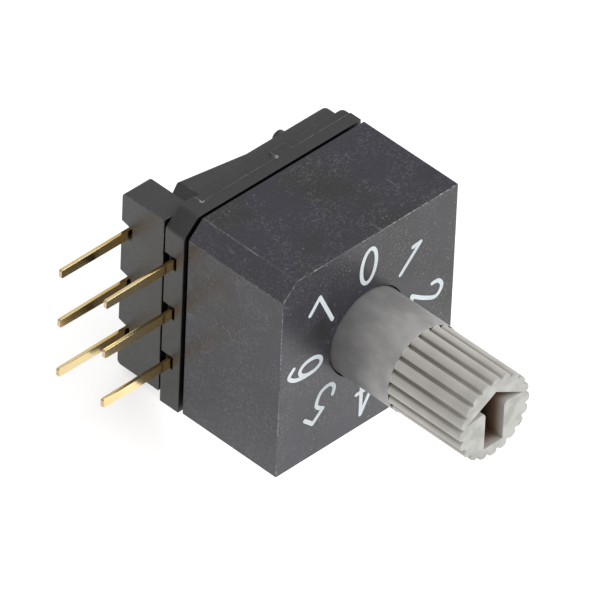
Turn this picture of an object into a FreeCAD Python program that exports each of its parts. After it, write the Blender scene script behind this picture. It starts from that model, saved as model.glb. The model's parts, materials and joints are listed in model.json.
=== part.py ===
"""Rotary coding switch with eight positions, for a circuit board at a right angle.

Millimetres, +Z up. The origin is on the shaft's axis, at the dial face. The shaft points along -Y,
the body lies behind the dial along +Y, and the pins point along -X. Digit 0 is at the top.
"""
import FreeCAD, Part
import os
import math
import types
import Sketcher
from FreeCAD import Placement, Rotation, Vector

# Driving dimensions. A place along Y is called "at", and a radius is measured from the shaft's axis.
# Overlap is how far a cut, or a block that joins another, reaches past the face that it meets.
SIZES = {
    # the square outline and its one chamfered long edge
    "body_width": 9.7,
    "corner_chamfer": 0.73,
    "board_side_standoff": 0.1,
    "overlap": 0.1,
    # front housing
    "housing_depth": 5.3,
    "mouth_radius": 2.06,
    "mouth_depth": 0.4,
    "bearing_radius": 1.85,
    "seal_seat_at": 1.3,
    "seal_seat_radius": 2.5,
    "cavity_at": 2.0,
    "cavity_width": 8.2,
    "cavity_corner": 0.5,
    # shaft
    "shaft_length": 7.1,
    "shaft_radius": 2.0,
    "collar_length": 3.15,
    "collar_foot": 0.12,
    "knurl_core_radius": 1.78,
    "tooth_count": 20,
    "tooth_tip_radius": 1.965,
    "tooth_shoulder_radius": 1.9,
    "tooth_shoulder_width": 0.4,
    "tooth_root_radius": 1.7,
    "tooth_root_width": 0.5,
    "journal_clearance": 0.05,
    "shoulder_radius": 3.0,
    "shoulder_thickness": 0.47,
    "square_tail": 1.9,
    "tail_boss_radius": 0.95,
    "tail_boss_end": 4.3,
    "pivot_radius": 0.6,
    "pivot_end": 5.5,
    "pivot_clearance": 0.04,
    # arrow-shaped screwdriver slot in the shaft's end
    "slot_depth": 1.3,
    "slot_width": 1.04,
    "slot_tail": 1.38,
    "arrow_apex": 1.28,
    "arrow_half_width": 1.47,
    "arrow_tip_height": 0.44,
    "arrow_neck_height": 0.5,
    "arrow_neck_fillet": 0.2,
    # seal and thrust washer
    "seal_section_radius": 0.33,
    "seal_gap": 0.03,
    "washer_thickness": 0.2,
    "washer_bore_radius": 1.9,
    "washer_radius": 3.4,
    "thrust_gap": 0.03,
    # detent
    "position_count": 8,
    "wheel_thickness": 1.0,
    "wheel_radius": 2.9,
    "notch_radius": 0.45,
    "notch_centre_radius": 2.95,
    "spring_width": 0.8,
    "spring_thickness": 0.15,
    "spring_end": 3.5,
    "spring_pad": 0.7,
    "spring_lean": 70,
    "spring_nose_radius": 0.35,
    "spring_nose_gap": 0.1,
    # code disc, tracks and wipers
    "disc_thickness": 0.23,
    "disc_radius": 3.55,
    "track_thickness": 0.04,
    "track_width": 0.46,
    "pad_end_margin": 3,
    "common_track_radius": 1.6,
    "track_4_radius": 2.14,
    "track_1_radius": 2.66,
    "track_2_radius": 3.18,
    "wiper_gap": 0.02,
    "wiper_thickness": 0.1,
    "wiper_width": 0.36,
    "wiper_pad": 0.6,
    "wiper_tip_length": 0.35,
    "wiper_tip_lift": 0.22,
    # base behind the housing
    "seam_gap": 0.15,
    "plinth_at": 4.9,
    "plinth_clearance": 0.05,
    "base_rear_at": 6.5,
    "base_rear_corner": 0.2,
    "base_chamfer_round": 0.35,
    "base_step_at": 6.06,
    "base_step": 0.07,
    "base_step_left": 3.4,
    "base_link_from": 0.7,
    "base_link_to": 1.6,
    "gasket_inset": 0.4,
    "gasket_opening": 8.26,
    "pivot_bore_depth": 0.75,
    "well_depth": 0.3,
    "well_left": 1.7,
    "well_right": 3.6,
    "well_half_height": 3.7,
    # terminals
    "pin_pitch": 2.54,
    "pin_width": 0.46,
    "pin_thickness": 0.16,
    "pin_end": 8.7,
    "pin_taper_from": 6.3,
    "pin_end_width": 0.41,
    "pin_bevel": 0.06,
    "front_row_at": 6.0,
    "front_leg": 3.0,
    "rear_leg": 3.2,
    "rear_run_at": 6.88,
    "riser": 4.2,
    "exit_notch_height": 0.62,
    "exit_notch_gap": 0.08,
    "exit_notch_reach": 4.3,
    # pin carrier: a plate behind the base, and a foot along the pin side
    "plate_inset": 0.32,
    "plate_far_inset": 0.1,
    "plate_rear_at": 7.36,
    "plate_swell_at": 7.9,
    "plate_swell_from": 0.3,
    "plate_swell_peak": 2.9,
    "plate_end_drop": 0.2,
    "plate_corner_drop": 0.45,
    "plate_rear_corner": 0.25,
    "plate_top_edge": 0.2,
    "nub_radius": 0.34,
    "nub_centre": 2.2,
    "nub_height": 0.12,
    "foot_thickness": 1.45,
    "foot_half_height": 4.4,
    "foot_rear_at": 8.95,
    "foot_corner": 0.22,
    "foot_groove_depth": 0.09,
    "foot_groove_width": 0.4,
    "rear_notch_height": 0.94,
    "rear_notch_floor": 0.56,
    "rear_notch_gap": 0.12,
}


class Term:
    """A number together with the sheet formula that gives it, so that one sum serves for both."""

    def __init__(self, value, formula):
        self.value = float(value)
        self.formula = formula

    def __add__(self, other):
        other = term(other)
        return Term(self.value + other.value, "(%s + %s)" % (self.formula, other.formula))

    def __sub__(self, other):
        other = term(other)
        return Term(self.value - other.value, "(%s - %s)" % (self.formula, other.formula))

    def __mul__(self, other):
        other = term(other)
        return Term(self.value * other.value, "(%s * %s)" % (self.formula, other.formula))

    def __truediv__(self, other):
        other = term(other)
        return Term(self.value / other.value, "(%s / %s)" % (self.formula, other.formula))

    def __neg__(self):
        return Term(-self.value, "(0 - %s)" % self.formula)


def root(inside):
    """The square root of a Term."""
    return Term(math.sqrt(inside.value), "sqrt(%s)" % inside.formula)


def term(number):
    """Any number as a Term."""
    if isinstance(number, Term):
        return number
    return Term(number, "(%.9g)" % number)


doc = FreeCAD.newDocument("rotary_coding_switch")


def make_sheet():
    """The spreadsheet of driving dimensions, and the same names as Terms."""
    sheet = doc.addObject("Spreadsheet::Sheet", "Sizes")
    for row, (name, value) in enumerate(SIZES.items(), start=1):
        sheet.set("A%d" % row, name)
        sheet.set("B%d" % row, str(value))
        sheet.setAlias("B%d" % row, name)
    doc.recompute()
    return types.SimpleNamespace(**{name: Term(value, "Sizes." + name) for name, value in SIZES.items()})


d = make_sheet()
sub_parts = []


# Small helpers. Across-the-shaft sketches lie in XZ, and everything they make runs along +Y.

def bind(thing, field, size):
    """Ties one property of an object to the sheet."""
    thing.setExpression(field, term(size).formula)


def new_body(name):
    body = doc.addObject("PartDesign::Body", name)
    body.Label = name
    sub_parts.append(body)
    return body


def origin_feature(body, role):
    return [feature for feature in body.Origin.OriginFeatures if feature.Role == role][0]


def new_sketch(body, name, role, offset=0.0, turn=0.0):
    """A sketch on one of the body's own planes, moved along the plane's normal and turned in it."""
    sketch = body.newObject("Sketcher::SketchObject", name)
    sketch.AttachmentSupport = [(origin_feature(body, role), "")]
    sketch.MapMode = "FlatFace"
    sketch.AttachmentOffset = Placement(Vector(0, 0, term(offset).value), Rotation(Vector(0, 0, 1), turn))
    bind(sketch, "AttachmentOffset.Base.z", offset)
    return sketch


def across(body, name, at, turn=0.0):
    """A sketch across the shaft at one place along Y. Its own axes are X and Z, its normal is -Y."""
    return new_sketch(body, name, "XZ_Plane", -term(at), turn)


def pin_point(sketch, geometry, corner, spot):
    """Ties one point of the sketch to its two coordinates."""
    for kind, coordinate in (("DistanceX", spot[0]), ("DistanceY", spot[1])):
        coordinate = term(coordinate)
        place = Sketcher.Constraint(kind, -1, 1, geometry, corner, coordinate.value)
        number = sketch.addConstraint(place)
        sketch.setExpression("Constraints[%d]" % number, coordinate.formula)


def flat_vector(spot):
    return Vector(term(spot[0]).value, term(spot[1]).value, 0)


def outline(sketch, steps):
    """A closed outline. A step is a corner (a, b), or (middle, radius) for an arc to the next corner."""
    corners = [step for step in steps if not isinstance(step[0], tuple)]
    arc_after = {}
    for number, step in enumerate(steps):
        if isinstance(step[0], tuple):
            arc_after[len([s for s in steps[:number] if not isinstance(s[0], tuple)]) - 1] = step
    first = sketch.GeometryCount
    for number, corner in enumerate(corners):
        start = flat_vector(corner)
        end = flat_vector(corners[(number + 1) % len(corners)])
        if number in arc_after:
            middle, radius = arc_after[number]
            made = sketch.addGeometry(Part.Arc(start, flat_vector(middle), end), False)
            ends = arc_ends(sketch, made, start)
            rule = sketch.addConstraint(Sketcher.Constraint("Radius", made, term(radius).value))
            sketch.setExpression("Constraints[%d]" % rule, term(radius).formula)
        else:
            made = sketch.addGeometry(Part.LineSegment(start, end), False)
            ends = (1, 2)
        pin_point(sketch, made, ends[0], corner)
        if number > 0:
            sketch.addConstraint(Sketcher.Constraint("Coincident", made, ends[0], made - 1, last_end))
        last_end = ends[1]
    first_start = 1
    if 0 in arc_after:
        first_start = arc_ends(sketch, first, flat_vector(corners[0]))[0]
    sketch.addConstraint(Sketcher.Constraint("Coincident", made, last_end, first, first_start))


def arc_ends(sketch, arc, start):
    """Which of the arc's two ends, 1 or 2, lies at the start, then the other one."""
    if (sketch.getPoint(arc, 1) - start).Length < 1e-6:
        return (1, 2)
    return (2, 1)


def rectangle(sketch, left, right, low, high):
    outline(sketch, [(left, low), (right, low), (right, high), (left, high)])


def circle(sketch, radius, spot=(0, 0)):
    made = sketch.addGeometry(Part.Circle(flat_vector(spot), Vector(0, 0, 1), term(radius).value), False)
    pin_point(sketch, made, 3, spot)
    rule = sketch.addConstraint(Sketcher.Constraint("Radius", made, term(radius).value))
    sketch.setExpression("Constraints[%d]" % rule, term(radius).formula)


def feature(body, kind, name, sketch, length, reverse, both_ways=False):
    """A Pad or Pocket of one sketch, with its length tied to the sheet."""
    made = body.newObject("PartDesign::" + kind, name)
    made.Profile = sketch
    made.Type = 0
    made.Length = term(length).value
    bind(made, "Length", length)
    made.Midplane = both_ways
    made.Reversed = reverse
    sketch.Visibility = False
    doc.recompute()
    return made


def pad_back(body, name, sketch, length):
    """Material from the sketch's place towards +Y."""
    return feature(body, "Pad", name, sketch, length, True)


def cut(body, name, sketch, length, forwards=False):
    """A pocket towards +Y, or towards -Y with forwards. It has to take something away."""
    before = body.Tip.Shape.Volume
    made = feature(body, "Pocket", name, sketch, length, forwards)
    if made.Shape.Volume > before - 1e-6:
        raise RuntimeError("pocket %s cuts nothing" % name)
    return made


def around_shaft(body, name, originals, count):
    """A polar pattern about the Y axis."""
    pattern = body.newObject("PartDesign::PolarPattern", name)
    pattern.Originals = originals
    pattern.Axis = (origin_feature(body, "Y_Axis"), [""])
    pattern.Angle = 360
    pattern.Occurrences = int(count.value)
    bind(pattern, "Occurrences", count)
    body.Tip = pattern
    doc.recompute()
    return pattern


def three_rows(body, name, originals):
    """The same cuts at each of the three pin heights, from the lowest one up."""
    pattern = body.newObject("PartDesign::LinearPattern", name)
    pattern.Originals = originals
    pattern.Direction = (origin_feature(body, "Z_Axis"), [""])
    pattern.Length = (d.pin_pitch * 2).value
    bind(pattern, "Length", d.pin_pitch * 2)
    pattern.Occurrences = 3
    body.Tip = pattern
    doc.recompute()
    return pattern


def edges_along(shape, direction, chosen):
    """Names of the straight edges along a direction whose middle point is one that is chosen."""
    names = []
    for number, edge in enumerate(shape.Edges, start=1):
        if isinstance(edge.Curve, Part.Line):
            along = abs(edge.Curve.Direction.dot(direction)) > 0.999
            if along and chosen(edge.valueAt((edge.FirstParameter + edge.LastParameter) / 2)):
                names.append("Edge%d" % number)
    return names


def round_edges(body, name, direction, chosen, radius):
    """A fillet on the chosen edges of the body so far."""
    base = body.Tip
    names = edges_along(base.Shape, direction, chosen)
    made = body.newObject("PartDesign::Fillet", name)
    made.Base = (base, names)
    made.Radius = term(radius).value
    bind(made, "Radius", radius)
    doc.recompute()
    return made


ALONG_X = Vector(1, 0, 0)
ALONG_Y = Vector(0, 1, 0)
ALONG_Z = Vector(0, 0, 1)

half_width = d.body_width / 2
cavity_half = d.cavity_width / 2
base_front_at = d.housing_depth + d.seam_gap
board_side = half_width + d.board_side_standoff
shoulder_at = d.cavity_at + d.washer_thickness + d.thrust_gap
wheel_at = shoulder_at + d.shoulder_thickness
disc_at = wheel_at + d.wheel_thickness
track_at = disc_at + d.disc_thickness
wiper_nose_at = track_at + d.track_thickness + d.wiper_gap
rear_row_at = d.front_row_at + d.pin_pitch


def square_outline(left, right_and_up, chamfer):
    """The switch's outline seen along the shaft: a square with the upper -X corner cut off."""
    return [
        (-left, -right_and_up),
        (right_and_up, -right_and_up),
        (right_and_up, right_and_up),
        (-left + chamfer, right_and_up),
        (-left, right_and_up - chamfer),
    ]


def make_front_housing():
    """Box with the dial face, the shaft's bore, the seal's seat and the mechanism's cavity."""
    body = new_body("front_housing")
    block = across(body, "housing_outline", 0)
    outline(block, square_outline(half_width, half_width, d.corner_chamfer))
    pad_back(body, "housing_block", block, d.housing_depth)
    bore = across(body, "bearing_circle", 0)
    circle(bore, d.bearing_radius)
    cut(body, "bearing_bore", bore, d.seal_seat_at)
    mouth = across(body, "mouth_circle", 0)
    circle(mouth, d.mouth_radius)
    cut(body, "bore_mouth", mouth, d.mouth_depth)
    seat = across(body, "seal_seat_circle", d.cavity_at)
    circle(seat, d.seal_seat_radius)
    cut(body, "seal_seat", seat, d.cavity_at - d.seal_seat_at, forwards=True)
    room = across(body, "cavity_square", d.housing_depth)
    rectangle(room, -cavity_half, cavity_half, -cavity_half, cavity_half)
    cut(body, "cavity", room, d.housing_depth - d.cavity_at, forwards=True)
    corner = cavity_half.value
    round_edges(
        body, "cavity_corners", ALONG_Y,
        lambda p: abs(abs(p.x) - corner) < 1e-4 and abs(abs(p.z) - corner) < 1e-4,
        d.cavity_corner,
    )


def make_actuator_shaft():
    """Turned profile, square tail, knurl and arrow slot."""
    body = new_body("actuator_shaft")
    journal = d.bearing_radius - d.journal_clearance
    profile = new_sketch(body, "shaft_profile", "XY_Plane")
    outline(profile, [
        (0, -d.shaft_length),
        (d.knurl_core_radius, -d.shaft_length),
        (d.knurl_core_radius, -d.collar_length),
        (d.shaft_radius, -d.collar_length),
        (d.shaft_radius, d.collar_foot),
        (journal, d.collar_foot),
        (journal, shoulder_at),
        (d.shoulder_radius, shoulder_at),
        (d.shoulder_radius, wheel_at),
        (d.tail_boss_radius, wheel_at),
        (d.tail_boss_radius, d.tail_boss_end),
        (d.pivot_radius, d.tail_boss_end),
        (d.pivot_radius, d.pivot_end),
        (0, d.pivot_end),
    ])
    turned = body.newObject("PartDesign::Revolution", "turned_shaft")
    turned.Profile = profile
    turned.ReferenceAxis = (profile, ["V_Axis"])
    turned.Angle = 360
    doc.recompute()
    tail = across(body, "tail_square", wheel_at)
    rectangle(tail, -d.square_tail / 2, d.square_tail / 2, -d.square_tail / 2, d.square_tail / 2)
    pad_back(body, "square_tail_pad", tail, track_at - wheel_at)
    add_knurl(body)
    cut_arrow_slot(body)


def add_knurl(body):
    """One round-topped tooth along the shaft, from its end to the collar, repeated round the core."""
    tooth = across(body, "tooth_outline", -d.shaft_length)
    half_root = d.tooth_root_width / 2
    half_shoulder = d.tooth_shoulder_width / 2
    crown = d.tooth_tip_radius - d.tooth_shoulder_radius
    crown_radius = (half_shoulder * half_shoulder + crown * crown) / (crown * 2)
    outline(tooth, [
        (-half_root, d.tooth_root_radius),
        (-half_shoulder, d.tooth_shoulder_radius),
        ((0, d.tooth_tip_radius), crown_radius),
        (half_shoulder, d.tooth_shoulder_radius),
        (half_root, d.tooth_root_radius),
    ])
    first = pad_back(body, "tooth", tooth, d.shaft_length - d.collar_length + d.overlap)
    around_shaft(body, "knurl", [first], d.tooth_count)


def cut_arrow_slot(body):
    """Arrow-shaped slot for a screwdriver. It points at the digit that is set."""
    slot = across(body, "arrow_outline", -d.shaft_length)
    half_slot = d.slot_width / 2
    outline(slot, [
        (0, d.arrow_apex),
        (-d.arrow_half_width, d.arrow_tip_height),
        (-half_slot, d.arrow_neck_height),
        (-half_slot, -d.slot_tail),
        (half_slot, -d.slot_tail),
        (half_slot, d.arrow_neck_height),
        (d.arrow_half_width, d.arrow_tip_height),
    ])
    cut(body, "arrow_slot", slot, d.slot_depth)
    neck_x = half_slot.value
    neck_z = SIZES["arrow_neck_height"]
    round_edges(
        body, "arrow_neck_rounds", ALONG_Y,
        lambda p: abs(abs(p.x) - neck_x) < 1e-4 and abs(p.z - neck_z) < 1e-4 and p.y < 0,
        d.arrow_neck_fillet,
    )


def make_ring(name, at, thickness, bore, radius):
    """A flat round ring across the shaft."""
    body = new_body(name)
    ring = across(body, name + "_rings", at)
    circle(ring, radius)
    circle(ring, bore)
    pad_back(body, name + "_pad", ring, thickness)


def make_shaft_seal():
    """O-ring in its seat behind the front wall, a hair clear of the shaft."""
    seal = doc.addObject("Part::Torus", "shaft_seal")
    seal.Label = "shaft_seal"
    centre_radius = d.bearing_radius - d.journal_clearance + d.seal_gap + d.seal_section_radius
    bind(seal, "Radius1", centre_radius)
    bind(seal, "Radius2", d.seal_section_radius)
    seal.Placement = Placement(Vector(0, 0, 0), Rotation(ALONG_X, -90))
    bind(seal, "Placement.Base.y", (d.seal_seat_at + d.cavity_at) / 2)
    sub_parts.append(seal)


def make_detent_wheel():
    """Wheel with a rounded notch for each position, on the shaft's square."""
    body = new_body("detent_wheel")
    disc = across(body, "wheel_outline", wheel_at)
    circle(disc, d.wheel_radius)
    rectangle(disc, -d.square_tail / 2, d.square_tail / 2, -d.square_tail / 2, d.square_tail / 2)
    pad_back(body, "wheel_blank", disc, d.wheel_thickness)
    notch = across(body, "notch_circle", wheel_at)
    circle(notch, d.notch_radius, (0, d.notch_centre_radius))
    first = cut(body, "notch", notch, d.wheel_thickness)
    around_shaft(body, "notches", [first], d.position_count)


def make_detent_spring(name, side):
    """Leaf spring under the cavity's top (side 1) or on its floor (side -1), nosed into a notch."""
    body = new_body(name)
    strip = across(body, name + "_edge", wheel_at + (d.wheel_thickness - d.spring_width) / 2)
    nose_low = d.notch_centre_radius - d.notch_radius + d.spring_nose_gap
    nose_centre = nose_low + d.spring_nose_radius
    inner_radius = d.spring_nose_radius - d.spring_thickness
    knee = d.spring_end - d.spring_pad
    lean = math.radians(SIZES["spring_lean"])
    outer_x = d.spring_nose_radius * math.sin(lean)
    outer_z = nose_centre - d.spring_nose_radius * math.cos(lean)
    inner_x = inner_radius * math.sin(lean)
    inner_z = nose_centre - inner_radius * math.cos(lean)
    wall = cavity_half
    under = cavity_half - d.spring_thickness
    outline(strip, [
        (-d.spring_end, wall * side),
        (-d.spring_end, under * side),
        (-knee, under * side),
        (-outer_x, outer_z * side),
        ((0, nose_low * side), d.spring_nose_radius),
        (outer_x, outer_z * side),
        (knee, under * side),
        (d.spring_end, under * side),
        (d.spring_end, wall * side),
        (knee, wall * side),
        (inner_x, inner_z * side),
        ((0, (nose_low + d.spring_thickness) * side), inner_radius),
        (-inner_x, inner_z * side),
        (-knee, wall * side),
    ])
    pad_back(body, name + "_strip", strip, d.spring_width)


def make_code_disc():
    """Insulating disc on the shaft's square, behind the detent wheel."""
    body = new_body("code_disc")
    disc = across(body, "disc_outline", disc_at)
    circle(disc, d.disc_radius)
    rectangle(disc, -d.square_tail / 2, d.square_tail / 2, -d.square_tail / 2, d.square_tail / 2)
    pad_back(body, "disc_pad", disc, d.disc_thickness)


def wipers():
    """Each wiper: name, which way its finger points, its leg, height, track and the nose's side."""
    return [
        ("wiper_1", 1, d.front_leg, d.pin_pitch, d.track_1_radius, 1),
        ("wiper_2", 1, d.front_leg, -d.pin_pitch, d.track_2_radius, 1),
        ("wiper_common", 1, d.front_leg, term(0), d.common_track_radius, -1),
        ("wiper_4", -1, d.rear_leg, term(0), d.track_4_radius, -1),
    ]


def nose_reach(height, radius):
    """How far from the middle a wiper's nose is, so that it stands on its own track."""
    return root(radius * radius - height * height)


def make_code_tracks():
    """Gold-plated pads on the disc: a full ring, and one track for each of the bits 1, 2 and 4."""
    body = doc.addObject("Part::Feature", "code_tracks")
    body.Label = "code_tracks"
    step = 360.0 / SIZES["position_count"]
    pads = [track_arc(d.common_track_radius.value, 0, 360)]
    for name, way, leg, height, radius, side in wipers():
        if name == "wiper_common":
            continue
        bit = int(name[-1])
        nose_x = way * side * nose_reach(height, radius).value
        nose_angle = math.degrees(math.atan2(nose_x, height.value))
        for first in range(bit, SIZES["position_count"], 2 * bit):
            start = nose_angle - (first + bit - 0.5) * step + SIZES["pad_end_margin"]
            sweep = bit * step - 2 * SIZES["pad_end_margin"]
            pads.append(track_arc(radius.value, start, sweep))
    body.Shape = Part.makeCompound(pads)
    body.Placement = Placement(Vector(0, track_at.value, 0), Rotation())
    sub_parts.append(body)


def track_arc(radius, start, sweep):
    """A flat pad along an arc. Angles run clockwise from +Z, seen from the front."""
    width = SIZES["track_width"]
    corner = Vector(0, SIZES["track_thickness"], radius - width / 2)
    section = Part.makePlane(width, SIZES["track_thickness"], corner, ALONG_X, ALONG_Z)
    section.rotate(Vector(0, 0, 0), ALONG_Y, start)
    return section.revolve(Vector(0, 0, 0), ALONG_Y, sweep)


def make_wiper(name, way, leg, height, track_radius, side):
    """Bent spring strip: a pad on the plinth, a slanting finger, and a nose at its track."""
    body = new_body(name)
    nose = nose_reach(height, track_radius) * side
    pad_start = -leg - d.wiper_pad / 2
    pad_end = -leg + d.wiper_pad / 2
    tip = nose + d.wiper_tip_length
    tip_at = wiper_nose_at + d.wiper_tip_lift
    thick = d.wiper_thickness
    strip = new_sketch(body, name + "_edge", "XY_Plane")
    outline(strip, [
        (pad_start * way, d.plinth_at),
        (pad_start * way, d.plinth_at - thick),
        (pad_end * way, d.plinth_at - thick),
        (nose * way, wiper_nose_at),
        (tip * way, tip_at),
        (tip * way, tip_at + thick),
        (nose * way, wiper_nose_at + thick),
        (pad_end * way, d.plinth_at),
    ])
    feature(body, "Pad", name + "_strip", strip, d.wiper_width, False, both_ways=True)
    bind(body, "Placement.Base.z", height)


def make_housing_gasket():
    """Flat frame in the seam between the housing and the base, set back from the outside."""
    body = new_body("housing_gasket")
    frame = across(body, "gasket_outline", d.housing_depth)
    reach = half_width - d.gasket_inset
    outline(frame, square_outline(reach, reach, d.corner_chamfer / 2))
    opening = d.gasket_opening / 2
    rectangle(frame, -opening, opening, -opening, opening)
    pad_back(body, "gasket_frame", frame, d.seam_gap)


def make_contact_base():
    """Flange behind the housing, with the plinth that carries the wipers and the shaft's pivot."""
    body = new_body("contact_base")
    flange = across(body, "flange_outline", base_front_at)
    outline(flange, square_outline(board_side, half_width, d.corner_chamfer))
    pad_back(body, "flange", flange, d.base_rear_at - base_front_at)
    far_side = half_width.value
    rear = SIZES["base_rear_at"]
    round_edges(
        body, "base_rear_corner_round", ALONG_Z,
        lambda p: abs(p.x - far_side) < 1e-4 and abs(p.y - rear) < 1e-4,
        d.base_rear_corner,
    )
    left = -board_side.value
    top = half_width.value
    chamfer = SIZES["corner_chamfer"]

    def meets_chamfer(p):
        on_left = abs(p.x - left) < 1e-4 and p.z > 0
        on_top = abs(p.z - top) < 1e-4 and p.x < left + 2 * chamfer
        return on_left or on_top

    round_edges(body, "base_chamfer_rounds", ALONG_Y, meets_chamfer, d.base_chamfer_round)
    cut_top_step(body)
    plinth = across(body, "plinth_square", d.plinth_at)
    plinth_half = cavity_half - d.plinth_clearance
    rectangle(plinth, -plinth_half, plinth_half, -plinth_half, plinth_half)
    pad_back(body, "plinth", plinth, base_front_at - d.plinth_at)
    corner = plinth_half.value
    round_edges(
        body, "plinth_corners", ALONG_Y,
        lambda p: abs(abs(p.x) - corner) < 1e-4 and abs(abs(p.z) - corner) < 1e-4,
        d.cavity_corner + d.plinth_clearance,
    )
    pivot = across(body, "pivot_circle", d.plinth_at)
    circle(pivot, d.pivot_radius + d.pivot_clearance)
    cut(body, "pivot_bore", pivot, d.pivot_bore_depth)
    cut_base_channels(body)
    well = across(body, "resin_well_outline", d.base_rear_at - d.well_depth)
    rectangle(well, -d.well_left, d.well_right, -d.well_half_height, d.well_half_height)
    cut(body, "resin_well", well, d.well_depth)


def cut_top_step(body):
    """The flange's top is lower behind a rib, except for one short link that stays at full height."""
    step = across(body, "top_step_outline", d.base_step_at)
    low = half_width - d.base_step
    high = half_width + d.overlap
    rectangle(step, -d.base_step_left, d.base_link_from, low, high)
    rectangle(step, d.base_link_to, half_width + d.overlap, low, high)
    cut(body, "top_step", step, d.base_rear_at - d.base_step_at)


def leg_cut(body, name, at, length, low_x, high_x, height=None):
    """A slot for one stretch of the lowest terminal, from one place along Y towards +Y."""
    slot = across(body, name + "_outline", at)
    half = (height or d.pin_width) / 2
    rectangle(slot, low_x, high_x, -d.pin_pitch - half, -d.pin_pitch + half)
    return cut(body, name, slot, length)


def cut_base_channels(body):
    """Channels and slots for the terminals, and the wider notches where the front row leaves."""
    half_thick = d.pin_thickness / 2
    floor_at = d.front_row_at - half_thick
    outside = -board_side - d.overlap
    to_rear = d.base_rear_at - floor_at
    made = [
        leg_cut(body, "front_channel", floor_at, to_rear, outside, -d.front_leg + half_thick),
        leg_cut(body, "exit_notch", floor_at - d.exit_notch_gap, to_rear + d.exit_notch_gap,
                outside, -d.exit_notch_reach, d.exit_notch_height),
        leg_cut(body, "front_leg_slot", d.plinth_at, floor_at - d.plinth_at,
                -d.front_leg - half_thick, -d.front_leg + half_thick),
        leg_cut(body, "rear_leg_slot", d.plinth_at, d.base_rear_at - d.plinth_at,
                d.rear_leg - half_thick, d.rear_leg + half_thick),
    ]
    three_rows(body, "channels", made)


def make_sealing_resin():
    """Casting resin in the well behind the base, round the legs of the rear terminals."""
    body = new_body("sealing_resin")
    pool = across(body, "resin_outline", d.base_rear_at - d.well_depth)
    rectangle(pool, -d.well_left, d.well_right, -d.well_half_height, d.well_half_height)
    half_thick = d.pin_thickness / 2
    half_wide = d.pin_width / 2
    for row in (-1, 0, 1):
        height = d.pin_pitch * row
        rectangle(
            pool, d.rear_leg - half_thick, d.rear_leg + half_thick, height - half_wide, height + half_wide,
        )
    pad_back(body, "resin_pool", pool, d.well_depth)


def make_pin_carrier():
    """Plate behind the base and a foot along the pin side, moulded round the rear terminals."""
    body = new_body("pin_carrier")
    plate_edge = half_width - d.plate_inset
    far_edge = half_width - d.plate_far_inset
    foot_inside = board_side - d.foot_thickness
    plate = new_sketch(body, "plate_profile", "XY_Plane")
    outline(plate, [
        (-foot_inside - d.overlap, d.base_rear_at),
        (far_edge, d.base_rear_at),
        (far_edge, d.plate_rear_at),
        (d.plate_swell_from, d.plate_rear_at),
        (-d.plate_swell_peak, d.plate_swell_at),
        (-foot_inside - d.overlap, d.plate_swell_at - d.plate_end_drop),
    ])
    feature(body, "Pad", "plate", plate, plate_edge * 2, False, both_ways=True)
    far_side = far_edge.value
    rear = SIZES["plate_rear_at"]
    round_edges(
        body, "plate_rear_corner_round", ALONG_Z,
        lambda p: abs(p.x - far_side) < 1e-4 and abs(p.y - rear) < 1e-4,
        d.plate_rear_corner,
    )
    corner = across(body, "plate_corner_outline", d.base_rear_at)
    outline(corner, [
        (-foot_inside - d.overlap * 2, plate_edge - d.plate_corner_drop),
        (-foot_inside, plate_edge - d.plate_corner_drop),
        (-d.plate_swell_peak, plate_edge),
        (-d.plate_swell_peak, plate_edge + d.overlap),
        (-foot_inside - d.overlap * 2, plate_edge + d.overlap),
    ])
    cut(body, "plate_corner", corner, d.plate_swell_at - d.base_rear_at)
    round_plate_top(body, plate_edge.value)
    nub = across(body, "nub_circle", d.plate_rear_at - d.overlap)
    circle(nub, d.nub_radius, (d.nub_centre, plate_edge - d.nub_radius))
    pad_back(body, "nub", nub, d.nub_height + d.overlap)
    foot = across(body, "foot_outline", d.base_rear_at)
    rectangle(foot, -board_side, -foot_inside, -d.foot_half_height, d.foot_half_height)
    pad_back(body, "foot", foot, d.foot_rear_at - d.base_rear_at)
    foot_rear = SIZES["foot_rear_at"]
    round_edges(body, "foot_corners", ALONG_X, lambda p: abs(p.y - foot_rear) < 1e-4, d.foot_corner)
    groove = across(body, "foot_groove_outline", d.base_rear_at)
    rectangle(groove, -board_side - d.overlap, -board_side + d.foot_groove_width, -half_width, half_width)
    cut(body, "foot_groove", groove, d.foot_groove_depth)
    cut_carrier_channels(body)


def round_plate_top(body, top):
    """The long edge between the plate's rear and its top is rounded."""
    base = body.Tip
    names = []
    for number, edge in enumerate(base.Shape.Edges, start=1):
        middle = edge.valueAt((edge.FirstParameter + edge.LastParameter) / 2)
        behind = middle.y > SIZES["plate_rear_at"] - SIZES["plate_rear_corner"] / 2
        if behind and abs(middle.z - top) < 1e-4 and edge.Length > SIZES["plate_top_edge"]:
            names.append("Edge%d" % number)
    made = body.newObject("PartDesign::Fillet", "plate_top_round")
    made.Base = (base, names)
    made.Radius = SIZES["plate_top_edge"]
    bind(made, "Radius", d.plate_top_edge)
    doc.recompute()


def side_notch(body, name, outer_at, inner_at, outer_height, inner_height):
    """A notch in the foot's pin side, at the lowest terminal, narrowing from one edge inwards."""
    notch = new_sketch(body, name + "_outline", "YZ_Plane", -d.exit_notch_reach)
    low = -d.pin_pitch
    outline(notch, [
        (outer_at, low - outer_height / 2),
        (inner_at, low - inner_height / 2),
        (inner_at, low + inner_height / 2),
        (outer_at, low + outer_height / 2),
    ])
    return cut(body, name, notch, board_side - d.exit_notch_reach + d.overlap)


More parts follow.
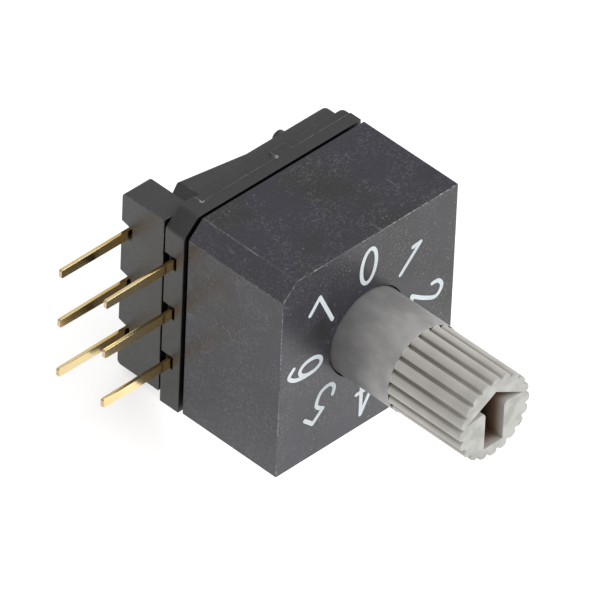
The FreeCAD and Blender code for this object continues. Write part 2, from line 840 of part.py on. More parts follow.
def cut_carrier_channels(body):
    """Room for the rear terminals' runs, legs and risers, and the notches in the foot's rear edge."""
    half_thick = d.pin_thickness / 2
    run_front = d.rear_run_at - half_thick
    run_rear = d.rear_run_at + half_thick
    blade_front = rear_row_at - half_thick
    blade_rear = rear_row_at + half_thick
    made = [
        leg_cut(
            body, "leg_slot", d.base_rear_at, run_front - d.base_rear_at,
            d.rear_leg - half_thick, d.rear_leg + half_thick,
        ),
        leg_cut(
            body, "run_slot", run_front, d.pin_thickness,
            -d.riser - half_thick, d.rear_leg + half_thick,
        ),
        leg_cut(
            body, "riser_slot", run_rear, blade_rear - run_rear,
            -d.riser - half_thick, -d.riser + half_thick,
        ),
        side_notch(body, "rear_notch", d.foot_rear_at + d.overlap, blade_front - d.rear_notch_gap,
                   d.rear_notch_height, d.rear_notch_floor),
    ]
    three_rows(body, "carrier_channels", made)


def make_terminal(name, height, rear_row):
    """Flat gold-plated pin with a tapered end, bent to a leg that reaches the plinth."""
    body = new_body(name)
    half_thick = d.pin_thickness / 2
    half_wide = d.pin_width / 2
    half_end = d.pin_end_width / 2
    if rear_row:
        row_at = rear_row_at
        blade_start = -d.riser + half_thick
    else:
        row_at = d.front_row_at
        blade_start = -d.front_leg + half_thick
    blade = across(body, name + "_blade_outline", row_at - half_thick)
    outline(blade, [
        (blade_start, -half_wide),
        (blade_start, half_wide),
        (-d.pin_taper_from, half_wide),
        (-d.pin_end + d.pin_bevel, half_end),
        (-d.pin_end, half_end - d.pin_bevel),
        (-d.pin_end, -half_end + d.pin_bevel),
        (-d.pin_end + d.pin_bevel, -half_end),
        (-d.pin_taper_from, -half_wide),
    ])
    pad_back(body, name + "_blade", blade, d.pin_thickness)
    run_front = d.rear_run_at - half_thick
    if rear_row:
        stretches = [
            ("riser", run_front, row_at - half_thick, -d.riser - half_thick, -d.riser + half_thick),
            ("run", run_front, d.rear_run_at + half_thick, -d.riser - half_thick, d.rear_leg + half_thick),
            ("leg", d.plinth_at, run_front, d.rear_leg - half_thick, d.rear_leg + half_thick),
        ]
    else:
        stretches = [
            ("leg", d.plinth_at, row_at - half_thick, -d.front_leg - half_thick, -d.front_leg + half_thick),
        ]
    for stretch, start_at, end_at, low_x, high_x in stretches:
        section = across(body, name + "_" + stretch + "_outline", start_at)
        rectangle(section, low_x, high_x, -half_wide, half_wide)
        pad_back(body, name + "_" + stretch, section, end_at - start_at)
    bind(body, "Placement.Base.z", height)


def check_and_export():
    """Stops at any object that failed, then writes each sub-part's solids."""
    doc.recompute()
    for thing in doc.Objects:
        if "Invalid" in thing.State or "Error" in thing.State:
            raise RuntimeError("%s did not recompute: %s" % (thing.Name, thing.State))
    os.makedirs("parts", exist_ok=True)
    for part in sub_parts:
        shape = part.Shape
        if shape.isNull() or not shape.isValid() or not shape.Solids:
            raise RuntimeError("%s has no valid solid" % part.Label)
        print("%-20s %2d solids %8.3f mm3" % (part.Label, len(shape.Solids), shape.Volume))
        shape.exportStep("parts/%s.step" % part.Label)


make_front_housing()
make_actuator_shaft()
make_shaft_seal()
make_ring("thrust_washer", d.cavity_at, d.washer_thickness, d.washer_bore_radius, d.washer_radius)
make_detent_wheel()
make_detent_spring("detent_spring_upper", 1)
make_detent_spring("detent_spring_lower", -1)
make_code_disc()
make_code_tracks()
for wiper in wipers():
    make_wiper(*wiper)
make_housing_gasket()
make_contact_base()
make_sealing_resin()
make_pin_carrier()
make_terminal("terminal_1", d.pin_pitch, False)
make_terminal("terminal_common", term(0), False)
make_terminal("terminal_2", -d.pin_pitch, False)
make_terminal("support_pin_upper", d.pin_pitch, True)
make_terminal("terminal_4", term(0), True)
make_terminal("support_pin_lower", -d.pin_pitch, True)
check_and_export()
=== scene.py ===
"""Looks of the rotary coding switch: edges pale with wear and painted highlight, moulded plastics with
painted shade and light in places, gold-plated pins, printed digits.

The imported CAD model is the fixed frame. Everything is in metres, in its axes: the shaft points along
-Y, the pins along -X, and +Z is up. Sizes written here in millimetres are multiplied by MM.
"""
import json
import math

import bmesh
import bpy
from mathutils import Matrix, Vector


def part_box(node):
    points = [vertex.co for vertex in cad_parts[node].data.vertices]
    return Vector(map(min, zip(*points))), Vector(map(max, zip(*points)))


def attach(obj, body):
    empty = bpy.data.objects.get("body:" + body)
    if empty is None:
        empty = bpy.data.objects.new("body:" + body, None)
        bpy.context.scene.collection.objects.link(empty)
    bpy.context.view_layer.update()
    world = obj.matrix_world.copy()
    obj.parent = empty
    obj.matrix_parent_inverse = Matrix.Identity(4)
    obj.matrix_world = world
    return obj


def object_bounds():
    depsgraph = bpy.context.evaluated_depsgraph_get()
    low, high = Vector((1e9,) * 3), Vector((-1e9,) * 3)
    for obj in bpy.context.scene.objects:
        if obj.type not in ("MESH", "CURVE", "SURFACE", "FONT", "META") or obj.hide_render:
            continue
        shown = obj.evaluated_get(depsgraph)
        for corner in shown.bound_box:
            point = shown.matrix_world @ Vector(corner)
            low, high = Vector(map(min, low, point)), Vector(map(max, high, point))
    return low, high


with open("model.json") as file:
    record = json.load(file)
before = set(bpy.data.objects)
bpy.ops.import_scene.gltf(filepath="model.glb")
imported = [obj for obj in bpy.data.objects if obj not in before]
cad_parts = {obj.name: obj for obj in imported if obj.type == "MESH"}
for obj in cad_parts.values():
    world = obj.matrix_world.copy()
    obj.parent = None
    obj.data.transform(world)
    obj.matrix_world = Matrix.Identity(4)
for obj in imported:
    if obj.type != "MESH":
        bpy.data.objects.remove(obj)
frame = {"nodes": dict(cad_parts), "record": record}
cad_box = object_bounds()

MM = 0.001

# Camera: where it stands round the object, and the point that it looks at.
CAMERA_AZIMUTH = -46.28
CAMERA_ELEVATION = 39.92
CAMERA_ROLL = 2.51
CAMERA_DISTANCE = 501.7 * MM
CAMERA_AIM = (-1.354 * MM, 2.444 * MM, 0.850 * MM)
CAMERA_LENS = 761.7
SENSOR_WIDTH = 36.0

# The soft light and the white surround, which is brightest in one direction. Lengths in metres.
LIGHT_PLACE = (0.30, -0.45, 0.40)
LIGHT_SIZE = 0.5
LIGHT_POWER = 2.0
WORLD_TOWARDS = (0.55, -0.7, 0.1)
WORLD_DIM = 0.40
WORLD_BRIGHT = 0.92

# The floor, which glows most round a place under the switch. Its glow is placed in millimetres.
FLOOR_HALF_WIDTH = 2.0
GLOW_PLACE = (1.0, 2.0)
GLOW_REACH = 9.5
GLOW_DIM = 0.55
GLOW_BRIGHT = 1.0

# Places along the shaft and across it, in millimetres, read from the frame.
HALF_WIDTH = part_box("front_housing")[1].z / MM
SHAFT_LENGTH = -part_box("actuator_shaft")[0].y / MM
SEAM_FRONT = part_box("front_housing")[1].y / MM
SEAM_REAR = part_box("housing_gasket")[1].y / MM
FLANGE_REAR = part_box("contact_base")[1].y / MM
PIN_SIDE = -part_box("contact_base")[0].x / MM
PIN_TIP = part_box("terminal_1")[0].x / MM
FOOT_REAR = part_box("pin_carrier")[1].y / MM

# Further sizes of the housing, the base and the foot, in millimetres.
CORNER_CHAMFER = 0.73
MOUTH_RADIUS = 2.06
RIB_AT = 6.06
RIB_ENDS = (-3.4, 0.7)
RIB_HIGHLIGHT_RADIUS = 0.13
NOTCH_REACH = 3.0
NOTCH_DEPTH = 0.7
SIDE_GROOVE_WIDTH = 0.09
SIDE_GROOVE_DEPTH = 0.45
FOOT_SLOT_LENGTH = 0.8

# Further sizes of the shaft, in millimetres: its knurl's grooves are shaded between two radii.
COLLAR_LENGTH = 3.15
GROOVE_INSIDE = 1.7
GROOVE_FLOOR = 1.80
GROOVE_TOP = 1.93
SLOT_RADIUS = 1.66
SLOT_FLOOR = -5.0

# The part of each pin, along X in millimetres, where the gold is painted redder and darker towards the body,
# as painted shade.
REDDER_FROM = -7.6
REDDER_TO = -5.2

# Printed digits: eight round the dial, 45 degrees apart, tops outward.
DIGIT_RING_RADIUS = 3.35
STROKE_WIDTH = 0.19
INK_THICKNESS = 0.012
CURVE_STEPS = 8
CAP_STEPS = 6
OVAL_STEPS = 24
SAME_PLACE = 1e-6


# ---------------------------------------------------------------- camera, floor and light


def make_camera():
    """The camera at the picture's viewing angle, rolled a little about its own axis."""
    azimuth = math.radians(CAMERA_AZIMUTH)
    elevation = math.radians(CAMERA_ELEVATION)
    back = Vector((
        math.sin(azimuth) * math.cos(elevation),
        -math.cos(azimuth) * math.cos(elevation),
        math.sin(elevation),
    ))
    turn = Matrix.Rotation(math.radians(CAMERA_ROLL), 4, "Z")
    data = bpy.data.cameras.new("camera")
    data.lens = CAMERA_LENS
    data.sensor_width = SENSOR_WIDTH
    data.clip_start = 0.01
    data.clip_end = 10.0
    camera = bpy.data.objects.new("camera", data)
    camera.matrix_world = (
        Matrix.Translation(Vector(CAMERA_AIM) + back * CAMERA_DISTANCE)
        @ back.to_track_quat("Z", "Y").to_matrix().to_4x4()
        @ turn
    )
    bpy.context.scene.collection.objects.link(camera)
    bpy.context.scene.camera = camera


def make_world():
    """A plain white surround, brightest in one direction."""
    world = bpy.data.worlds.new("studio")
    bpy.context.scene.world = world
    world.use_nodes = True
    tree = world.node_tree
    background = tree.nodes["Background"]
    place = tree.nodes.new("ShaderNodeTexCoord")
    facing = tree.nodes.new("ShaderNodeVectorMath")
    facing.operation = "DOT_PRODUCT"
    facing.inputs[1].default_value = Vector(WORLD_TOWARDS).normalized()
    ramp = tree.nodes.new("ShaderNodeMapRange")
    ramp.inputs["From Min"].default_value = -1.0
    ramp.inputs["From Max"].default_value = 1.0
    ramp.inputs["To Min"].default_value = WORLD_DIM
    ramp.inputs["To Max"].default_value = WORLD_BRIGHT
    tree.links.new(place.outputs["Generated"], facing.inputs[0])
    tree.links.new(facing.outputs["Value"], ramp.inputs["Value"])
    tree.links.new(ramp.outputs["Result"], background.inputs["Strength"])
    background.inputs["Color"].default_value = (1.0, 1.0, 1.0, 1.0)


def make_light():
    """A square soft light above and in front of the dial, pointing at the dial's middle."""
    data = bpy.data.lights.new("front_light", "AREA")
    data.shape = "SQUARE"
    data.size = LIGHT_SIZE
    data.energy = LIGHT_POWER
    light = bpy.data.objects.new("front_light", data)
    light.location = LIGHT_PLACE
    light.rotation_mode = "QUATERNION"
    light.rotation_quaternion = Vector(LIGHT_PLACE).to_track_quat("Z", "Y")
    bpy.context.scene.collection.objects.link(light)


def make_floor():
    """A plain white light table that the switch lies on, brightest round the switch."""
    lowest = cad_box[0].z
    half = FLOOR_HALF_WIDTH
    corners = ((-half, -half), (half, -half), (half, half), (-half, half))
    mesh = bpy.data.meshes.new("floor")
    mesh.from_pydata([(x, y, lowest) for x, y in corners], [], [(0, 1, 2, 3)])
    floor = bpy.data.objects.new("floor", mesh)
    bpy.context.scene.collection.objects.link(floor)
    paint = Paint("white_table")
    paint.set("Base Color", grey(0.8))
    paint.set("Roughness", 0.9)
    paint.set("Specular IOR Level", 0.0)
    paint.set("Emission Color", grey(1.0))
    glow = paint.near((*GLOW_PLACE, lowest / MM), GLOW_REACH)
    paint.set("Emission Strength", paint.band(glow, 0.0, 1.0, GLOW_DIM, GLOW_BRIGHT))
    mesh.materials.append(paint.material)


# ---------------------------------------------------------------- materials


class Paint:
    """A node material being built. Lengths in its textures are in millimetres."""

    def __init__(self, name):
        self.material = bpy.data.materials.new(name)
        self.material.use_nodes = True
        self.tree = self.material.node_tree
        self.shader = self.tree.nodes["Principled BSDF"]
        place = self.tree.nodes.new("ShaderNodeTexCoord")
        scale = self.tree.nodes.new("ShaderNodeVectorMath")
        scale.operation = "SCALE"
        scale.inputs["Scale"].default_value = 1.0 / MM
        self.tree.links.new(place.outputs["Object"], scale.inputs[0])
        self.millimetres = scale.outputs[0]

    def set(self, socket, value):
        """Gives one of the shader's own sockets a constant, or links a texture to it."""
        if isinstance(value, bpy.types.NodeSocket):
            self.tree.links.new(value, self.shader.inputs[socket])
        else:
            self.shader.inputs[socket].default_value = value

    def noise(self, per_mm, detail=2.0, stretch=(1.0, 1.0, 1.0), shift=(0.0, 0.0, 0.0)):
        """Cloudy noise from 0 to 1. Stretch divides its frequency along each axis."""
        mapping = self.tree.nodes.new("ShaderNodeMapping")
        mapping.inputs["Scale"].default_value = [1.0 / s for s in stretch]
        mapping.inputs["Location"].default_value = shift
        texture = self.tree.nodes.new("ShaderNodeTexNoise")
        texture.inputs["Scale"].default_value = per_mm
        texture.inputs["Detail"].default_value = detail
        self.tree.links.new(self.millimetres, mapping.inputs["Vector"])
        self.tree.links.new(mapping.outputs[0], texture.inputs["Vector"])
        return texture.outputs["Fac"]

    def band(self, value, low, high, bottom=0.0, top=1.0):
        """Value carried from low..high to bottom..top, and held at the ends."""
        node = self.tree.nodes.new("ShaderNodeMapRange")
        node.interpolation_type = "SMOOTHSTEP"
        node.inputs["From Min"].default_value = low
        node.inputs["From Max"].default_value = high
        node.inputs["To Min"].default_value = bottom
        node.inputs["To Max"].default_value = top
        self.tree.links.new(value, node.inputs["Value"])
        return node.outputs["Result"]

    def axis(self, letter):
        """One coordinate of the point, in millimetres."""
        node = self.tree.nodes.new("ShaderNodeSeparateXYZ")
        self.tree.links.new(self.millimetres, node.inputs[0])
        return node.outputs[letter]

    def radius(self):
        """The point's distance from the shaft's axis, in millimetres."""
        flat = self.tree.nodes.new("ShaderNodeVectorMath")
        flat.operation = "MULTIPLY"
        flat.inputs[1].default_value = (1.0, 0.0, 1.0)
        length = self.tree.nodes.new("ShaderNodeVectorMath")
        length.operation = "LENGTH"
        self.tree.links.new(self.millimetres, flat.inputs[0])
        self.tree.links.new(flat.outputs[0], length.inputs[0])
        return length.outputs["Value"]

    def above(self, value, limit, soft=0.01):
        """One where the value is over the limit, else zero, with a soft step between."""
        return self.band(value, limit - soft, limit + soft)

    def below(self, value, limit, soft=0.01):
        """One where the value is under the limit, else zero, with a soft step between."""
        return self.band(value, limit - soft, limit + soft, 1.0, 0.0)

    def both(self, *masks):
        """One only where every mask is."""
        product = masks[0]
        for mask in masks[1:]:
            product = self.arithmetic("MULTIPLY", product, mask)
        return product

    def either(self, *masks):
        """One where some mask is."""
        highest = masks[0]
        for mask in masks[1:]:
            highest = self.arithmetic("MAXIMUM", highest, mask)
        return highest

    def near(self, place, reach):
        """One at a place, fading to zero at that reach from it."""
        gap = self.tree.nodes.new("ShaderNodeVectorMath")
        gap.operation = "DISTANCE"
        gap.inputs[1].default_value = place
        self.tree.links.new(self.millimetres, gap.inputs[0])
        return self.band(gap.outputs["Value"], reach * 0.5, reach, 1.0, 0.0)

    def dots(self, per_mm, size, share, shift=0.0):
        """Separate dots on a random grid, in that share of its cells."""
        cells = self.tree.nodes.new("ShaderNodeTexVoronoi")
        cells.inputs["Scale"].default_value = per_mm
        place = self.tree.nodes.new("ShaderNodeVectorMath")
        place.operation = "ADD"
        place.inputs[1].default_value = (shift, shift, shift)
        self.tree.links.new(self.millimetres, place.inputs[0])
        self.tree.links.new(place.outputs[0], cells.inputs["Vector"])
        split = self.tree.nodes.new("ShaderNodeSeparateColor")
        self.tree.links.new(cells.outputs["Color"], split.inputs[0])
        near = self.band(cells.outputs["Distance"], size * 0.6, size, 1.0, 0.0)
        return self.both(near, self.below(split.outputs["Red"], share))

    def arithmetic(self, operation, first, second):
        """One sum of two sockets or numbers."""
        node = self.tree.nodes.new("ShaderNodeMath")
        node.operation = operation
        for socket, value in zip(node.inputs, (first, second)):
            if isinstance(value, bpy.types.NodeSocket):
                self.tree.links.new(value, socket)
            else:
                socket.default_value = value
        return node.outputs[0]

    def mix(self, share, first, second):
        """The colour second laid over first by share."""
        node = self.tree.nodes.new("ShaderNodeMix")
        node.data_type = "RGBA"
        sockets = {s.identifier: s for s in node.inputs}
        pairs = (("Factor_Float", share), ("A_Color", first), ("B_Color", second))
        for identifier, value in pairs:
            if isinstance(value, bpy.types.NodeSocket):
                self.tree.links.new(value, sockets[identifier])
            else:
                sockets[identifier].default_value = value
        return next(s for s in node.outputs if s.identifier == "Result_Color")

    def bump(self, height, depth_mm):
        """Fine relief of that depth."""
        node = self.tree.nodes.new("ShaderNodeBump")
        node.inputs["Strength"].default_value = 1.0
        node.inputs["Distance"].default_value = depth_mm * MM
        self.tree.links.new(height, node.inputs["Height"])
        self.tree.links.new(node.outputs[0], self.shader.inputs["Normal"])


def rgb(red, green, blue):
    """A linear colour with full opacity."""
    return (red, green, blue, 1.0)


def grey(level):
    """A linear grey with full opacity."""
    return rgb(level, level, level)


# Black, painted as shade into the seams, notches, grooves and the bore's mouth.
SHADE_BLACK = grey(0.003)
# Grey painted as shade on the shaft's collar, towards the dial and on one side.
COLLAR_SHADE = rgb(0.08, 0.077, 0.08)


def moulding(paint, colour, tint, roughness, grain_mm):
    """The ground of a glass-filled moulding: even colour with soft clouds, satin, finely grained."""
    clouds = paint.band(paint.noise(0.45, 3.0), 0.35, 0.65)
    base = paint.mix(clouds, colour, tint)
    paint.set("Roughness", paint.band(paint.noise(4.0, 3.0), 0.3, 0.7, roughness - 0.05, roughness + 0.05))
    paint.set("Specular IOR Level", 0.5)
    paint.bump(paint.noise(14.0, 2.0), grain_mm)
    return base


def specked(paint, base, pale, share, strength):
    """Fine pale grain in drifts, separate glass specks and a few short scratches."""
    drifts = paint.band(paint.noise(0.8, 4.0, shift=(3.0, 8.0, 1.0)), 0.36, 0.62, 0.15, 1.0)
    grain = paint.band(paint.noise(10.0, 3.0, shift=(1.0, 1.0, 1.0)), 0.46, 0.72, 0.0, 0.42 * strength)
    base = paint.mix(paint.both(grain, drifts), base, pale)
    fine = paint.dots(10.0, 0.36, share)
    base = paint.mix(paint.both(fine, drifts, strength * 0.8), base, pale)
    coarse = paint.dots(3.6, 0.17, share * 0.5, shift=5.0)
    base = paint.mix(paint.arithmetic("MULTIPLY", coarse, strength), base, pale)
    scratch = paint.band(paint.noise(2.6, 2.0, stretch=(1.0, 5.0, 1.0)), 0.71, 0.75, 0.0, strength * 0.35)
    return paint.mix(scratch, base, pale)


def housing_plastic():
    """Charcoal housing, with painted shade on its top (darker and violet), painted light on its chamfer
    (paler), and painted shade in black in the bore's mouth and at the seam.
    """
    paint = Paint("housing_plastic")
    base = moulding(paint, rgb(0.0275, 0.0258, 0.0335), rgb(0.0320, 0.0300, 0.0410), 0.33, 0.004)
    # Painted shade: the top face is painted darker and more violet than the sides.
    on_top = paint.above(paint.axis("Z"), HALF_WIDTH - 0.05)
    base = paint.mix(on_top, base, rgb(0.0255, 0.0235, 0.0370))
    smudges = paint.band(paint.noise(0.35, 2.0, shift=(9.0, 2.0, 5.0)), 0.48, 0.7, 0.0, 0.75)
    base = paint.mix(smudges, base, rgb(0.020, 0.018, 0.016))
    # Painted light: the chamfer is painted paler than the other faces.
    across_chamfer = paint.arithmetic("SUBTRACT", paint.axis("Z"), paint.axis("X"))
    chamfer_light = paint.above(across_chamfer, 2 * HALF_WIDTH - CORNER_CHAMFER - 0.05, 0.02)
    base = paint.mix(chamfer_light, base, rgb(0.054, 0.051, 0.062))
    base = specked(paint, base, rgb(0.17, 0.17, 0.175), 0.3, 0.8)
    along = paint.axis("Y")
    # Painted shade: the bore's mouth and the housing's face at the seam are painted black.
    mouth_shade = paint.both(paint.below(paint.radius(), MOUTH_RADIUS + 0.02), paint.above(along, 0.02))
    seam_shade = paint.above(along, SEAM_FRONT - 0.02)
    paint.set("Base Color", paint.mix(paint.either(mouth_shade, seam_shade), base, SHADE_BLACK))
    return paint.material


def base_plastic():
    """Smooth dark grey moulding, paler on the pins' carrier, with painted highlights at the rib's ends, and
    painted shade in black inside its seams and notches.
    """
    paint = Paint("base_plastic")
    along = paint.axis("Y")
    across = paint.axis("X")
    base = moulding(paint, grey(0.029), grey(0.034), 0.38, 0.003)
    base = paint.mix(paint.above(along, FLANGE_REAR + 0.01), base, grey(0.040))
    base = specked(paint, base, grey(0.12), 0.12, 0.35)
    # Painted highlights: small pale spots on the flange's top at the ends of the rib.
    for end in RIB_ENDS:
        spot = paint.near((end, RIB_AT, HALF_WIDTH), RIB_HIGHLIGHT_RADIUS)
        base = paint.mix(spot, base, grey(0.30))
    # Painted shade: the seam, the pins' notches, the side groove and the slots in the foot are painted black.
    seam_shade = paint.below(along, SEAM_REAR + 0.015)
    behind_surface = paint.both(
        paint.above(across, -PIN_SIDE + 0.03),
        paint.below(across, -PIN_SIDE + NOTCH_DEPTH),
    )
    near_pins = paint.below(paint.arithmetic("ABSOLUTE", paint.axis("Z"), 0.0), NOTCH_REACH)
    in_notch = paint.both(behind_surface, near_pins, paint.below(along, FLANGE_REAR + 0.01))
    groove_shade = paint.both(
        paint.below(across, -PIN_SIDE + SIDE_GROOVE_DEPTH),
        paint.above(along, FLANGE_REAR - 0.015),
        paint.below(along, FLANGE_REAR + SIDE_GROOVE_WIDTH + 0.01),
    )
    in_foot = paint.both(
        behind_surface,
        near_pins,
        paint.above(along, FOOT_REAR - FOOT_SLOT_LENGTH),
        paint.below(along, FOOT_REAR - 0.05),
    )
    dark = paint.either(seam_shade, in_notch, groove_shade, in_foot)
    paint.set("Base Color", paint.mix(dark, base, SHADE_BLACK))
    return paint.material


def pale_edge_wear_and_highlight(name, colour, pale, least, most, wear_and_highlight_by_place):
    """An edge pale in places, partly with wear and partly as painted highlight, chipped to dots. The function
    says where it is pale at all.
    """
    paint = Paint(name)
    # The pale is partly wear and partly painted highlight.
    rubbed = paint.band(paint.noise(1.1, 3.0), 0.40, 0.66, least, most)
    chipped = paint.band(paint.noise(6.0, 2.0), 0.38, 0.62, 0.2, 1.0)
    wear = paint.both(rubbed, chipped, wear_and_highlight_by_place(paint))
    paint.set("Base Color", paint.mix(wear, colour, pale))
    paint.set("Roughness", 0.5)
    paint.set("Specular IOR Level", 0.3)
    return paint.material


def housing_wear_and_highlight(paint):
    """Wear and painted highlight: most along the dial's top edge, some on its other edges, less on the long
    ones, none in the seam.
    """
    along = paint.axis("Y")
    at_dial = paint.below(along, 0.15, 0.08)
    high = paint.above(paint.axis("Z"), HALF_WIDTH - 0.9, 0.2)
    at_top = paint.both(at_dial, high)
    some = paint.arithmetic("ADD", paint.arithmetic("MULTIPLY", at_dial, 0.25), 0.40)
    return paint.both(paint.either(some, at_top), paint.below(along, SEAM_FRONT - 0.06))


def base_wear_and_highlight(paint):
    """Wear and painted highlight: most along the ribs on the flange's top, some elsewhere on the outside,
    none in the seam.
    """
    along = paint.axis("Y")
    on_top = paint.above(paint.axis("Z"), HALF_WIDTH - 0.1, 0.02)
    on_ribs = paint.both(
        on_top,
        paint.above(along, RIB_AT - 0.12),
        paint.below(along, FLANGE_REAR - 0.1),
    )
    some = paint.arithmetic("ADD", paint.arithmetic("MULTIPLY", on_ribs, 0.8), 0.2)
    return paint.both(some, paint.above(along, SEAM_REAR + 0.06))


def collar(paint, along, base):
    """The shaft's smooth part: smeared, with painted shade near the dial and on one side, and a painted
    highlight at its lip.
    """
    on_collar = paint.above(along, -COLLAR_LENGTH)
    cloudy = paint.noise(0.9, 4.0, stretch=(1.0, 1.6, 1.0), shift=(2.0, 0.0, 4.0))
    smears = paint.band(cloudy, 0.35, 0.7)
    smeared = paint.mix(smears, rgb(0.30, 0.292, 0.288), rgb(0.44, 0.432, 0.422))
    base = paint.mix(on_collar, base, smeared)
    # Painted shade: darker towards the dial.
    dial_shade = paint.band(along, -2.6, 0.0, 0.0, 0.5)
    base = paint.mix(paint.both(dial_shade, on_collar), base, COLLAR_SHADE)
    # Painted shade: darker on one side of the collar.
    sideways = paint.arithmetic("MULTIPLY", paint.axis("Z"), 0.6)
    sideways = paint.arithmetic("ADD", paint.axis("X"), sideways)
    side_shade = paint.band(sideways, -2.4, -0.4, 0.6, 0.0)
    side_shade = paint.both(side_shade, paint.band(along, -3.1, -1.0), on_collar)
    base = paint.mix(side_shade, base, COLLAR_SHADE)
    # Painted highlight: a pale band at the collar's lip.
    lip = paint.both(on_collar, paint.below(along, -COLLAR_LENGTH + 0.16, 0.1), smears, 0.45)
    return paint.mix(lip, base, rgb(0.52, 0.51, 0.49))


def knurl(paint, along, radius, base):
    """The shaft's toothed part: painted shade in the grooves, brown-grey and deepest at their floors, fading
    out towards the paler end.
    """
    # Painted shade: the grooves are painted brown-grey, deepest at their floors and fading towards the end.
    groove_shade = paint.both(
        paint.band(radius, GROOVE_FLOOR, GROOVE_TOP, 0.62, 0.0),
        paint.below(along, -COLLAR_LENGTH),
        paint.above(radius, GROOVE_INSIDE),
        paint.above(along, -SHAFT_LENGTH + 0.03, 0.03),
    )
    fading = paint.band(along, -SHAFT_LENGTH, -COLLAR_LENGTH - 0.6, 0.3, 1.0)
    base = paint.mix(paint.both(groove_shade, fading), base, rgb(0.12, 0.098, 0.078))
    towards_end = paint.band(along, -SHAFT_LENGTH, -SHAFT_LENGTH + 0.7, 0.5, 0.0)
    return paint.mix(towards_end, base, rgb(0.46, 0.455, 0.425))


def slotted_end(paint, along, radius, base):
    """The shaft's mottled end face, painted darker as painted shade, and the arrow slot in it, with painted
    shade browner and darker with depth.
    """
    # Painted shade: the end face is painted darker than the rest of the shaft, with a mottle.
    end_shade = paint.below(along, -SHAFT_LENGTH + 0.02)
    mottle = paint.band(paint.noise(1.6, 4.0, shift=(5.0, 1.0, 2.0)), 0.35, 0.65)
    mottled = paint.mix(mottle, rgb(0.345, 0.341, 0.321), rgb(0.455, 0.451, 0.426))
    base = paint.mix(end_shade, base, mottled)
    # Painted shade: the slot is painted browner, then darker, with depth.
    slot_shade = paint.both(paint.below(radius, SLOT_RADIUS), paint.below(along, SLOT_FLOOR))
    inside = paint.band(along, -SHAFT_LENGTH + 0.03, -SHAFT_LENGTH + 0.6)
    base = paint.mix(paint.both(slot_shade, inside), base, rgb(0.20, 0.125, 0.085))
    deep_slot_shade = paint.band(along, -SHAFT_LENGTH + 0.3, -SHAFT_LENGTH + 1.2)
    return paint.mix(paint.both(slot_shade, deep_slot_shade), base, rgb(0.050, 0.030, 0.020))


def shaft_plastic():
    """Warm light grey moulding, with smears, painted shade and a painted highlight on the collar, the knurl
    and the slotted end.
    """
    paint = Paint("shaft_plastic")
    radius = paint.radius()
    along = paint.axis("Y")
    clouds = paint.band(paint.noise(0.7, 3.0), 0.3, 0.7)
    base = paint.mix(clouds, rgb(0.43, 0.410, 0.380), rgb(0.49, 0.468, 0.434))
    base = collar(paint, along, base)
    base = knurl(paint, along, radius, base)
    base = slotted_end(paint, along, radius, base)
    paint.set("Base Color", base)
    paint.set("Roughness", paint.band(paint.noise(3.0, 3.0), 0.3, 0.7, 0.42, 0.55))
    paint.set("Specular IOR Level", 0.4)
    paint.bump(paint.noise(10.0, 3.0), 0.003)
    return paint.material


def plain_moulding(name, colour, tint, roughness, grain_mm=0.004):
    """A smooth moulding with a faint cloudiness and grain."""
    paint = Paint(name)
    clouds = paint.band(paint.noise(0.6, 3.0), 0.3, 0.7)
    base = paint.mix(clouds, colour, tint)
    base = paint.mix(paint.band(paint.noise(10.0, 2.0), 0.3, 0.7, 0.0, 0.25), base, tint)
    paint.set("Base Color", base)
    paint.set("Roughness", paint.band(paint.noise(3.0, 3.0), 0.3, 0.7, roughness - 0.05, roughness + 0.05))
    paint.bump(paint.noise(9.0, 3.0), grain_mm)
    return paint.material


def metal(name, colour, tint, roughness, grain_mm=0.002):
    """Plated or rolled metal, drawn lengthwise, with slight tarnish."""
    paint = Paint(name)
    tarnish = paint.band(paint.noise(1.2, 3.0), 0.35, 0.7)
    paint.set("Base Color", paint.mix(tarnish, colour, tint))
    paint.set("Metallic", 1.0)
    streaks = paint.noise(12.0, 2.0, stretch=(8.0, 1.0, 1.0))
    paint.set("Roughness", paint.band(streaks, 0.3, 0.7, roughness - 0.06, roughness + 0.08))
    paint.bump(streaks, grain_mm)
    return paint.material


def gold_plate():
    """Smooth pale gold plating, with painted shade making it redder near the body, and brown where each pin
    was cut off.
    """
    paint = Paint("gold_plate")
    clouds = paint.band(paint.noise(0.8, 2.0, stretch=(3.0, 1.0, 1.0)), 0.35, 0.65)
    base = paint.mix(clouds, rgb(1.0, 0.82, 0.46), rgb(0.97, 0.76, 0.38))
    outwards = paint.axis("X")
    # Painted shade: the gold is painted redder and darker towards the body.
    redder = paint.band(outwards, REDDER_FROM, REDDER_TO, 0.0, 0.75)
    base = paint.mix(redder, base, rgb(0.80, 0.50, 0.16))
    cut_end = paint.below(outwards, PIN_TIP + 0.03, 0.02)
    paint.set("Base Color", paint.mix(paint.both(cut_end, 0.7), base, rgb(0.42, 0.31, 0.22)))
    paint.set("Metallic", 1.0)
    paint.set("Roughness", paint.band(clouds, 0.0, 1.0, 0.13, 0.19))
    return paint.material


